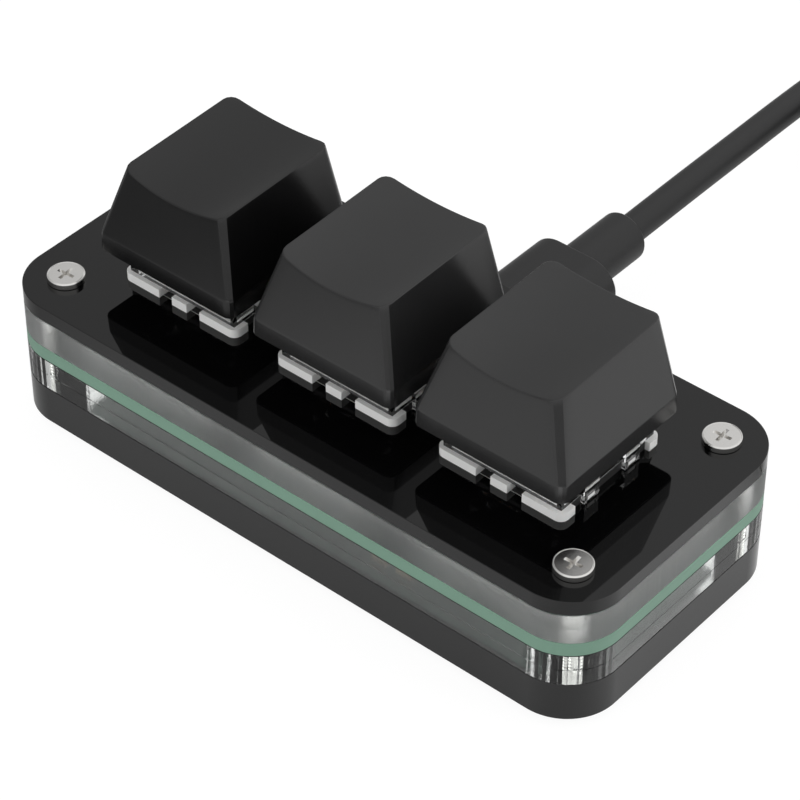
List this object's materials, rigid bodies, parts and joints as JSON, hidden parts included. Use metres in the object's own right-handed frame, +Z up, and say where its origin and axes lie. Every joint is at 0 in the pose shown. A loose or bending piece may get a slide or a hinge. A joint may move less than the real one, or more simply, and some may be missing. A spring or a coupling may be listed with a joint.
{
  "type": "macro keypad",
  "caption": "Small layered desk keypad: a row of sprung push keys on a black plate, clear spacers round a circuit board, corner screws and a plugged-in cable.",
  "frame": {"origin": "centre of the case footprint, on the surface that the feet stand on", "axes": "+X along the row of keys, +Y to the side where the cable leaves, +Z up through the keys"},
  "size_m": [0.0909, 0.1504, 0.0308],
  "materials": {
    "black_acrylic": "polished black sheet",
    "clear_acrylic": "clear sheet with cut edges",
    "circuit_board": "green board, pale green bare edge",
    "screw_steel": "nickel plated",
    "nut_brass": "plain",
    "foot_rubber": "matte",
    "chip_black": "moulded",
    "solder_tin": "tinned",
    "capacitor_tan": "ceramic",
    "resistor_black": "ceramic",
    "socket_steel": "plated sheet",
    "cable_black": "satin moulded jacket",
    "tie_fabric": "woven hook strap",
    "insert_white": "moulded",
    "housing_white": "milky moulded",
    "cover_clear": "clear moulded",
    "contact_brass": "gold plated strip",
    "spring_steel": "wire",
    "stem_dark": "moulded",
    "keycap_black": "fine satin moulded"
  },
  "bodies": {
    "case": {"base_plate": "black_acrylic", "top_plate": "black_acrylic", "lower_spacer": "clear_acrylic", "upper_spacer": "clear_acrylic", "pcb": "circuit_board", "case_screws": "screw_steel", "case_nuts": "nut_brass", "rubber_feet": "foot_rubber", "controller_chip": "chip_black", "chip_leads": "solder_tin", "capacitors": "capacitor_tan", "resistors": "resistor_black", "solder_joints": "solder_tin", "usb_socket": "socket_steel", "usb_socket_tongue": "chip_black", "plug_shell": "socket_steel", "plug_body": "cable_black", "plug_sleeve": "cable_black", "cable_run": "cable_black", "cable_coil": "cable_black", "cable_tail": "cable_black", "cable_tie": "tie_fabric", "far_sleeve": "cable_black", "far_body": "cable_black", "far_shell": "socket_steel", "far_insert": "insert_white", "switch_housing_1": "housing_white", "switch_cover_1": "cover_clear", "switch_contacts_1": "contact_brass", "key_spring_1": "spring_steel", "switch_housing_2": "housing_white", "switch_cover_2": "cover_clear", "switch_contacts_2": "contact_brass", "key_spring_2": "spring_steel", "switch_housing_3": "housing_white", "switch_cover_3": "cover_clear", "switch_contacts_3": "contact_brass", "key_spring_3": "spring_steel"},
    "key_1": {"keycap_1": "keycap_black", "key_stem_1": "stem_dark"},
    "key_2": {"keycap_2": "keycap_black", "key_stem_2": "stem_dark"},
    "key_3": {"keycap_3": "keycap_black", "key_stem_3": "stem_dark"}
  },
  "joints": [
    {"name": "key_1_press", "type": "slide", "parent": "case", "child": "key_1", "axis": [0, 0, -1], "range_m": [0, 0.004], "stiffness_N_per_m": 75, "springref_m": -0.004, "deforming": ["key_spring_1"]},
    {"name": "key_2_press", "type": "slide", "parent": "case", "child": "key_2", "axis": [0, 0, -1], "range_m": [0, 0.004], "stiffness_N_per_m": 75, "springref_m": -0.004, "deforming": ["key_spring_2"]},
    {"name": "key_3_press", "type": "slide", "parent": "case", "child": "key_3", "axis": [0, 0, -1], "range_m": [0, 0.004], "stiffness_N_per_m": 75, "springref_m": -0.004, "deforming": ["key_spring_3"]}
  ]
}
